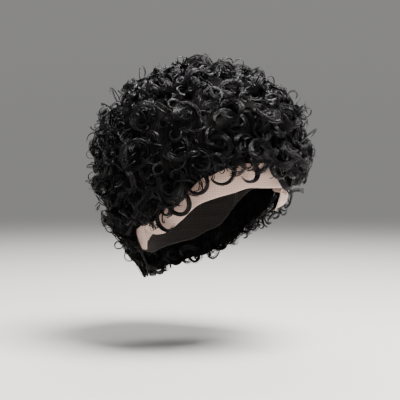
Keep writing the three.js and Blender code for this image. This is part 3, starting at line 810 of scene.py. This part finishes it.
# %% Rings and hooks
# Turn, fall, radius, strand, lift and sense. The last four are small, and are drawn only here.
HOOKS = [(-58, 115, 11, 2.0, 8, 1), (-47, 104, 12, 2.2, 9, -1), (-35, 92, 11, 1.8, 11, -1),
         (-20, 86, 12, 2.4, 14, -1), (-3, 87, 9, 1.9, 12, -1), (19, 83, 12, 2.4, 14, 1),
         (32, 85, 9, 1.9, 16, 1), (-51, 102, 7, 2.0, 9, -1), (-56, 108, 6, 1.8, 8, -1),
         (-47, 99, 7, 2.0, 9, -1)]
HOOK_SWEEP, HOOK_FLARE, HOOK_BAND = math.radians(240), 0.5, 4.0  # the band is in widths of the strand
# Turn, fall, radius, lift and heading of the two wide loops on top, which stand on edge.
TOP_LOOPS = [(-117, 6, 18, 13, 90), (63, 22, 17, 13, -90)]
# Fall above the hem that a row of hooks takes up, and the shares of the loft that they stand at.
EDGE_ROW, UPPER_ROW, EAR_ROW = (4.0, (0.35, 0.95)), (14.0, (0.35, 0.95)), (6.0, (0.95, 1.4))
RINGS, RING_CLEAR, EDGE_STEP, UPPER_STEP = 240, 8, 6.0, 7.5
LEFT_EAR = (88.0, 108.0, 12)  # from, to and count of the hooks that fill the hair behind the left ear


def loose_rings(rng):
    """Rings that stand on edge, most of them at the outside of the hair."""
    turn, fall = sunflower(RINGS, RING_CLEAR)
    n = len(turn)
    moved, radius = turn + rng.normal(0, 3, n), rng.uniform(5.0, 10.0, n)
    tilt = np.radians(rng.uniform(40, 90, n))
    lift = np.maximum(hair_stand(turn, fall) - rng.uniform(4, 11, n), HAIR_SEAT)
    return dict(
        any_way(rng, n, turns=(0.55, 0.95), closes=(0.05, 0.4), rise=(2, 9), band=(0.8, 2.5)),
        turn=moved, fall=fall, lift=lift, radius=radius, tilt=tilt, stem=0.25, point=0.3, oval=0.25,
        frizz=0.6, apart=0.8, strands=4, clumps=2, stations=16, thick=(0.20, 0.30))


def along_hem(step, rng):
    """Turns about a step apart along the lower edge."""
    return np.arange(-180, 180, step) + rng.uniform(-0.4, 0.4, round(360 / step)) * step


def hem_hooks(turn, row, rng):
    """Hooks above the lower edge that open out into the hair they come from."""
    n, (above, stands) = len(turn), row
    radius = rng.uniform(4.5, 8.5, n) * nape_size(turn)
    sense = rng.choice([-1, 1], n)
    fall = hem_fall(turn) - above * rng.uniform(0.3, 1.0, n) - np.degrees(radius / CROWN_DROP)
    return dict(
        CURL, turn=turn, fall=fall, radius=radius, tilt=np.radians(rng.uniform(0, 55, n)),
        lift=np.maximum(hair_stand(turn, fall) * rng.uniform(*stands, n), HAIR_SEAT + 1.5),
        heading=any_angle(rng, n), start=-sense * np.radians(30),
        sweep=sense * np.radians(rng.uniform(190, 290, n)), closes=rng.uniform(0.0, 0.35, n),
        rise=rng.uniform(1, 6, n), band=rng.uniform(2, 4, n), flare=rng.uniform(0.8, 1.6, n),
        point=0.15, oval=0.2, frizz=0.6, apart=0.8, strands=9, clumps=4, stations=13,
        thick=(0.24, 0.36))


def fringe_hooks():
    """The hooks of the table, which lie along the head; the first six are placed as in the solids."""
    turn, fall, radius, strand, lift, sense = np.array(HOOKS, float).T
    return dict(
        CURL, turn=turn, fall=fall, lift=lift, radius=radius, sweep=sense * HOOK_SWEEP,
        band=strand * HOOK_BAND, flare=HOOK_FLARE, point=0.6, oval=0.05, frizz=0.5, apart=0.2,
        strands=28, clumps=7, stations=17, thick=(0.32, 0.46))


def top_loops():
    """Wide loops over the top."""
    turn, fall, radius, lift, heading = np.array(TOP_LOOPS, float).T
    return dict(
        CURL, turn=turn, fall=fall, lift=lift, radius=radius, tilt=np.radians(88),
        heading=np.radians(heading), start=np.radians(-100), sweep=np.radians(230), closes=0.15,
        rise=4.0, band=7.0, stem=0.1, point=0.4, oval=0.05, frizz=0.8, winds_in=1.0,
        strands=26, clumps=7, stations=17, thick=(0.22, 0.33))


rings = loose_rings(rng)
edge = along_hem(EDGE_STEP, rng)
edge = edge[clear_of_tabs(edge, [tab[1] for tab in EAR_TABS.values()]) & beside_fringe(edge)]
edge_hooks = hem_hooks(edge, EDGE_ROW, rng)
upper_hooks = hem_hooks(along_hem(UPPER_STEP, rng), UPPER_ROW, rng)
ear_hooks = hem_hooks(np.linspace(*LEFT_EAR), EAR_ROW, rng)
hook_groups = (edge_hooks, upper_hooks, ear_hooks, fringe_hooks(), top_loops())
print("rings:", len(rings["turn"]), " hooks:", sum(len(group["turn"]) for group in hook_groups))

# %% [markdown]
# ## From a lock to its strands
#
# A curl is a circle that closes like a spiral and climbs along its axis. Every strand of a lock
# follows that line, moved sideways within the band of the lock. Hair clings together, so strands go
# in clumps that share their place in the band, their shade and a small turn and widening of the curl.
# The band gathers to a point at the tip, so that a lock reads as one curl and not as loose hair.
# Blender's hair system can curl strands too, but by arrays each one stays on the curl of its solid.
# A few hundred fine fly-away hairs follow the same curls more loosely.

# %% Strands: lines that follow the curls
HAIR_CLEAR, HEAD_MEAN = HAIR_SEAT + 0.8, 86.0  # mm that strands keep off the head, and about half its width
LENGTHS, MOST_CLOSED, FLARE_ENDS = (-0.12, 0.06), 0.85, 0.35
CLUMP_ANGLE, CLUMP_RADIUS, CLUMP_WINDS = (-0.22, 0.22), (-0.2, 0.08), (-0.2, 1.0)
FRIZZ_PLACE, FRIZZ_ANGLE, FRIZZ_RADIUS, FRIZZ_ACROSS, FRIZZ_ALONG = 0.16, 0.1, 0.035, 0.5, 0.6
SHADE_SPREAD, SHADE_VARIES = (1.5, 2.6), 0.12  # a beta spread, which is mostly dark
TAPER_FROM, TAPER_BY = 0.75, 0.75
FLYAWAYS, FLYAWAY_FRIZZ, FLYAWAY_THIN = 300, 1.4, 0.5


def keep_off_head(points, lift):
    """Points nearer to the head than the lift are moved out.

    They move away from the middle of the dome, or straight out of the column below it.
    """
    x, y, z = points[..., 0], points[..., 1], points[..., 2]
    reach = np.where(y < 0, HEAD_FRONT, HEAD_BACK)
    up = np.maximum(z + CROWN_DROP, 0)
    size = neck_share(np.maximum(-CROWN_DROP - z, 0))
    level = np.sqrt((x / HEAD_HALF_WIDTH) ** 2 + (y / reach) ** 2 + (up / CROWN_DROP) ** 2) / size
    grow = np.maximum((1 + lift / HEAD_MEAN) / np.maximum(level, 1e-6), 1)
    return np.stack([x * grow, y * grow, np.where(up > 0, up * grow - CROWN_DROP, z)], -1)


def curl_frames(group):
    """Centre, axis and two directions across it; the axis leans from straight out by the tilt."""
    shape = group["turn"].shape
    tilt, heading = (np.broadcast_to(group[key], shape)[:, None] for key in ("tilt", "heading"))
    out, down, along = directions(group["turn"], group["fall"])
    lean = down * np.cos(heading) + along * np.sin(heading)
    axis = unit(out * np.cos(tilt) + lean * np.sin(tilt))
    first = unit(np.cross(axis, along))
    return on_head(group["turn"], group["fall"], group["lift"]), axis, first, np.cross(axis, first)


def tapered(rng, thick, place, n):
    """Radius of each strand, even to three quarters of its length and then down to a quarter."""
    return rng.uniform(*thick, (n, 1)) * (1 - TAPER_BY * ease((place - TAPER_FROM) / (1 - TAPER_FROM)))


def curl_strands(group, rng, owner=None, looser=0.0, thin=1.0):
    """Lines: centre + r cos a first + r sin a second + (climb + own place in the band) axis."""
    count, clumps = len(group["turn"]), group["clumps"]
    owner = np.repeat(np.arange(count), group["strands"]) if owner is None else owner
    n = len(owner)
    clump = rng.integers(0, clumps, n)

    def of(key):
        """A value of the group for every strand."""
        return np.broadcast_to(group[key], count)[owner][:, None]

    def own(span, size):
        """Draws for every clump of every curl, handed to its strands."""
        return rng.uniform(*span, (count, clumps, size))[owner, clump]

    def frizzed(size, columns=1):
        """A normal draw for every strand, as large as its frizz."""
        return size * frizz * rng.normal(0, 1, (n, columns))

    def wander(size):
        """A slow wave along every strand, as large as its frizz."""
        waves = rng.uniform(0.5, 1.6, (n, 1)) * place + rng.uniform(0, 1, (n, 1))
        return size * frizz * np.sin(FULL_TURN * waves)

    frizz, stem = of("frizz") + looser, of("stem")
    spot = own((-0.5, 0.5), 2) + frizzed(FRIZZ_PLACE, 2)
    share = np.linspace(0, 1, group["stations"]) * (1 + stem + rng.uniform(*LENGTHS, (n, 1))) - stem
    place = np.clip((share + stem) / (1 + stem), 0, 1)
    gather = lerp(1 - 0.5 * place, of("point"), ease((place - 0.5) / 0.5))
    angle = of("start") + of("sweep") * share + of("apart") * own(CLUMP_ANGLE, 1) + frizzed(FRIZZ_ANGLE)
    closes = np.minimum(of("closes") * (1 + of("winds_in") * own(CLUMP_WINDS, 1)), MOST_CLOSED)
    radius = of("radius") * (1 - closes * share) * (1 + of("apart") * own(CLUMP_RADIUS, 1))
    radius = radius * (1 + frizzed(FRIZZ_RADIUS))
    radius = radius * (1 + of("flare") * np.clip(1 - place / FLARE_ENDS, 0, 1) ** 2)
    radius = radius * (1 + of("oval") * np.sin(2 * angle + any_angle(rng, count)[owner][:, None]))
    radius = radius + 0.5 * of("band") * spot[:, 1:] * gather + wander(FRIZZ_ACROSS)
    climb = of("rise") * (share - 1) + of("band") * spot[:, :1] * gather + wander(FRIZZ_ALONG)
    centre, axis, first, second = (v[owner][:, None, :] for v in curl_frames(group))
    points = centre + first * (radius * np.cos(angle))[..., None]
    points = points + second * (radius * np.sin(angle))[..., None] + axis * climb[..., None]
    points = keep_off_head(points, HAIR_CLEAR)
    shade = rng.beta(*SHADE_SPREAD, (count, clumps))[owner, clump] + rng.normal(0, SHADE_VARIES, n)
    # A group's raise of its shades is painted light, used for the lit curls on the crown.
    return {"points": points, "across": np.broadcast_to(axis, points.shape),
            "shade": shade + group["painted_light"], "radius": thin * tapered(rng, group["thick"], place, n),
            "turn": group["turn"][owner], "fall": group["fall"][owner]}


batches = [curl_strands(group, rng) for group in (sewn, low, fill, rings, *hook_groups)]
for group in (sewn, fill):
    owner = rng.choice(len(group["turn"]), FLYAWAYS // 2)
    batches.append(curl_strands(group, rng, owner, FLYAWAY_FRIZZ, FLYAWAY_THIN))
on_top = curl_strands(rosettes, crown_rng)
print("strands in curls:", sum(len(batch["shade"]) for batch in (*batches, on_top)))

# %% [markdown]
# ## Waves behind the ears and at the nape
#
# Towards the nape the hair is too short for rosettes. It runs down the head in waves and turns up at
# its tip. Curls round an axis would stand off there, so these strands are drawn on the head: a
# heading that swings left and right and then winds into a hook, summed up step by step into a path.

# %% Waves: strands drawn on the head near the hem
WAVE_PITCH, WAVES_FROM, WAVE_STATIONS, WAVE_STRANDS, WAVE_TAB_ROOM = 4.5, 60.0, 14, 11, 9
WAVE_SWING, WAVE_COUNT, WAVE_LENGTH, WAVE_ENDS = (0.8, 1.25), 1.6, (44, 62), (-7, -1)
WAVE_HOOK, WAVE_HOOK_FROM, WAVE_HALF, WAVE_GATHERS, WAVE_LEVEL = (1.8, 4.2), 0.55, 3.2, 0.7, 82.0


def wave_strands(rng):
    """Paths from a heading, a sine and then a winding tip, by running sums of its cosine and sine."""
    turn = np.arange(-180, 180, WAVE_PITCH) + rng.uniform(-1.5, 1.5, round(360 / WAVE_PITCH))
    turn = turn[clear_of_tabs(turn, (WAVE_TAB_ROOM, WAVE_TAB_ROOM)) & (np.abs(turn) > WAVES_FROM)]
    count = len(turn)
    owner = np.repeat(np.arange(count), WAVE_STRANDS)
    n = len(owner)

    def of(low, high):
        """A draw for every lock, handed to its strands."""
        return rng.uniform(low, high, count)[owner][:, None]

    def side():
        """Left or right for every lock."""
        return rng.choice([-1, 1], count)[owner][:, None]

    def varied(size):
        """A normal draw for every strand."""
        return rng.normal(0, size, (n, 1))

    s = np.linspace(0, 1, WAVE_STATIONS)
    heading = side() * of(*WAVE_SWING) * np.sin(FULL_TURN * (WAVE_COUNT * s + of(0, 1)))
    heading = heading + side() * of(*WAVE_HOOK) * ease((s - WAVE_HOOK_FROM) / (1 - WAVE_HOOK_FROM)) ** 1.5
    heading = heading + varied(0.06) + varied(0.08) * s
    step = of(*WAVE_LENGTH) / (WAVE_STATIONS - 1) * (1 + varied(0.05))
    along_mm, down_mm = np.cumsum(np.sin(heading) * step, 1), np.cumsum(np.cos(heading) * step, 1)
    lowest = hem_fall(turn)[owner][:, None] + of(*WAVE_ENDS) + varied(0.5)
    fall = lowest + np.degrees((down_mm - down_mm.max(1, keepdims=True)) / CROWN_DROP)
    across_mm = rng.uniform(-WAVE_HALF, WAVE_HALF, (n, 1)) * (1 - WAVE_GATHERS * s) + along_mm
    here = turn[owner][:, None] + np.degrees(across_mm / WAVE_LEVEL)
    rounded = 0.35 + 0.5 * np.sin(np.pi * (0.15 + 0.75 * s))
    lift = hair_stand(here, fall) * rounded * rng.uniform(0.75, 1.05, (n, 1)) + varied(0.8)
    points = on_head(here, fall, np.maximum(lift, HAIR_CLEAR))
    shade = rng.beta(*SHADE_SPREAD, count)[owner] + rng.normal(0, SHADE_VARIES, n)
    return {"points": points, "across": directions(here, fall)[0], "shade": shade,
            "radius": tapered(rng, (0.26, 0.38), s, n), "turn": here[:, 0], "fall": fall[:, 0]}


waves = wave_strands(rng)
print("strands in waves:", len(waves["shade"]))

# %% [markdown]
# ## From strands to meshes
#
# Each strand becomes a thin tube with three sides and closed ends, which is enough for something a
# pixel wide; a bevelled curve would have more sides and take longer. Its UV is a narrow upright
# strip: across, the strip's place is the shade of the strand, and upwards it runs from the root to
# the tip, so the material can paint shade at the roots.

# %% Strand meshes
TUBE_SIDES, HAIR_SHADES = 3, 32
STRIP, HEIGHTS = np.array([0.1, 0.37, 0.63, 0.9]), (0.01, 0.99)  # of a strand's own part of the UV
ROOT_END, TIP_END = [0.0, 0.01, 0.0], [0.99, 1.0, 0.99]


def tubes(points, across, radius):
    """Three points round every station, square to the line, turned from the direction across it."""
    ahead = unit(np.gradient(points, axis=1) + 1e-9)
    side = unit(np.cross(ahead, across) + 1e-9)
    up = np.cross(side, ahead)
    a = np.arange(TUBE_SIDES) * FULL_TURN / TUBE_SIDES
    ring = side[:, :, None, :] * np.cos(a)[:, None] + up[:, :, None, :] * np.sin(a)[:, None]
    return points[:, :, None, :] + ring * radius[:, :, None, None]


def strand_faces(count, stations, shade):
    """Side quads and end triangles of a batch of tubes, with the UV of each corner."""
    index = np.arange(count * stations * TUBE_SIDES).reshape(count, stations, TUBE_SIDES)
    nxt = np.roll(index, -1, 2)
    quads = np.stack([index[:, :-1], nxt[:, :-1], nxt[:, 1:], index[:, 1:]], -1)
    ends = np.concatenate([index[:, 0, ::-1], index[:, -1]])
    strips = (shade[:, None] + STRIP) / HAIR_SHADES
    left, right = strips[:, :TUBE_SIDES], strips[:, 1:]
    height = np.linspace(*HEIGHTS, stations)
    u = np.stack([left, right, right, left], -1)[:, None]
    v = np.stack([height[:-1], height[:-1], height[1:], height[1:]], -1)[None, :, None, :]
    quad_uv = np.stack([np.broadcast_to(u, quads.shape), np.broadcast_to(v, quads.shape)], -1)
    end_v = np.concatenate([np.tile(ROOT_END, (count, 1)), np.tile(TIP_END, (count, 1))])
    end_uv = np.stack([np.concatenate([left, left]), end_v], -1)
    return quads.reshape(-1, 4), ends, quad_uv.reshape(-1, 2), end_uv.reshape(-1, 2)


def strand_piece(name, batches, chosen, node):
    """The chosen strands of every batch as one mesh that stands for a node."""
    verts, faces, uvs, first = [], [], [], 0
    for batch, pick in zip(batches, chosen):
        points = batch["points"][pick]
        shade = np.clip((batch["shade"][pick] * HAIR_SHADES).astype(int), 0, HAIR_SHADES - 1)
        made = tubes(points, batch["across"][pick], batch["radius"][pick]).reshape(-1, 3)
        quads, ends, quad_uv, end_uv = strand_faces(len(points), points.shape[1], shade)
        verts.append(made)
        faces += [quads + first, ends + first]
        uvs += [quad_uv, end_uv]
        first += len(made)
    new_piece(name, np.concatenate(verts), faces, uvs, hair_fibre, node)


sample_quads, sample_ends = strand_faces(1, sewn["stations"], np.zeros(1))[:2]
print("triangles of a strand of a lock:", 2 * len(sample_quads) + len(sample_ends))

# %% [markdown]
# ## The whole head of hair
#
# The strands are sorted by where they grow into the sections of the solids, each of which they
# replace. One mesh for a section keeps the scene quick, where an object for each strand would not,
# and left and right are apart so that no mesh gets too large.

# %% Hair: every strand, sorted into its section
LOW_FALL = 104.0  # below this the sides belong to the nape
NODE_SECTIONS = {"crown_hair": ("crown_right", "crown_left"), "fringe_hair": ("fringe",),
                 "back_hair": ("right", "left", "nape_right", "nape_left")}


def section_of(batch):
    """Name of the section that each strand belongs to, from its turn and fall."""
    turn, fall = wrap(batch["turn"]), batch["fall"]
    side = np.where(turn > 0, "left", "right")
    start, end = HAIR_SECTIONS["fringe_hair"]
    name = np.where(fall > LOW_FALL, np.char.add("nape_", side), side)
    name = np.where((turn > start) & (turn < end), "fringe", name)
    return np.where(fall < CROWN_FALL, np.char.add("crown_", side), name)


batches += [waves, on_top]
names = [section_of(batch) for batch in batches]
for node, sections in NODE_SECTIONS.items():
    for section in sections:
        strand_piece(section + "_curls", batches, [name == section for name in names], node)
print("strands:", sum(len(batch["shade"]) for batch in batches))
